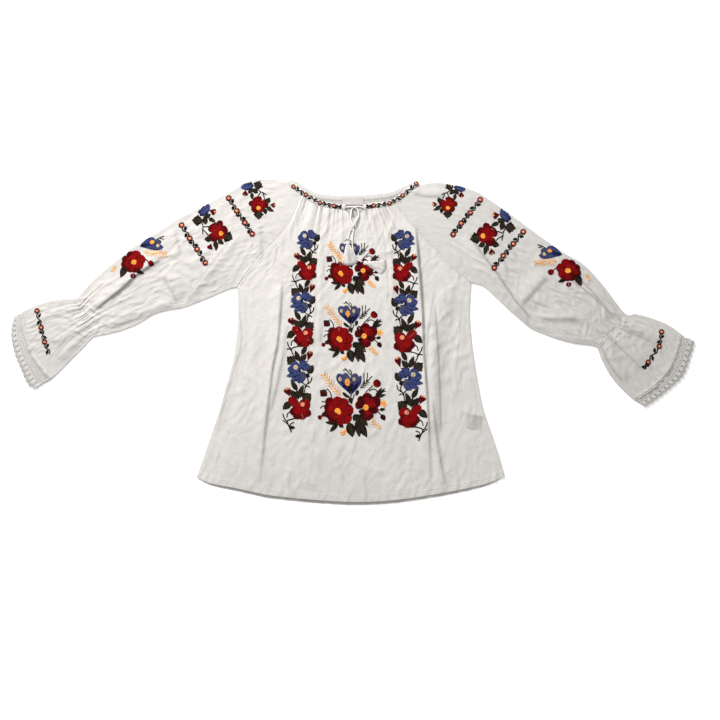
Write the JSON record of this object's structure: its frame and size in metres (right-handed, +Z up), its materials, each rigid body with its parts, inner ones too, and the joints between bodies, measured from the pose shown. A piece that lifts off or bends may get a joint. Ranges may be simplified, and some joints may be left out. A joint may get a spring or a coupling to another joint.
{
  "type": "romanian ie blouse",
  "caption": "White cotton blouse with raglan sleeves, gathered drawstring neck, cinched ruffled cuffs and crochet lace, laid flat face up.",
  "frame": {"origin": "middle of the footprint, on the surface the blouse lies on", "axes": "+X across the blouse from the left cuff to the right cuff as seen from above, +Y from the hem to the neck, +Z up out of the surface"},
  "size_m": [1.3668, 0.6529, 0.0152],
  "materials": {
    "white_cotton": "plain-woven washed cotton",
    "lace_cotton": "crocheted cotton thread",
    "cord_cotton": "twisted cotton thread",
    "woven_label": "smooth woven tape"
  },
  "bodies": {
    "root": {"front_panel": "white_cotton", "back_panel": "white_cotton", "sleeve_left": "white_cotton", "sleeve_right": "white_cotton", "neck_casing_left": "white_cotton", "neck_casing_right": "white_cotton", "neck_casing_back": "white_cotton", "lace_left_upper": "lace_cotton", "lace_left_lower": "lace_cotton", "lace_right_upper": "lace_cotton", "lace_right_lower": "lace_cotton", "drawstring_left": "cord_cotton", "drawstring_right": "cord_cotton", "tassel_left": "cord_cotton", "tassel_right": "cord_cotton", "neck_label": "woven_label", "side_label": "woven_label"}
  },
  "joints": []
}
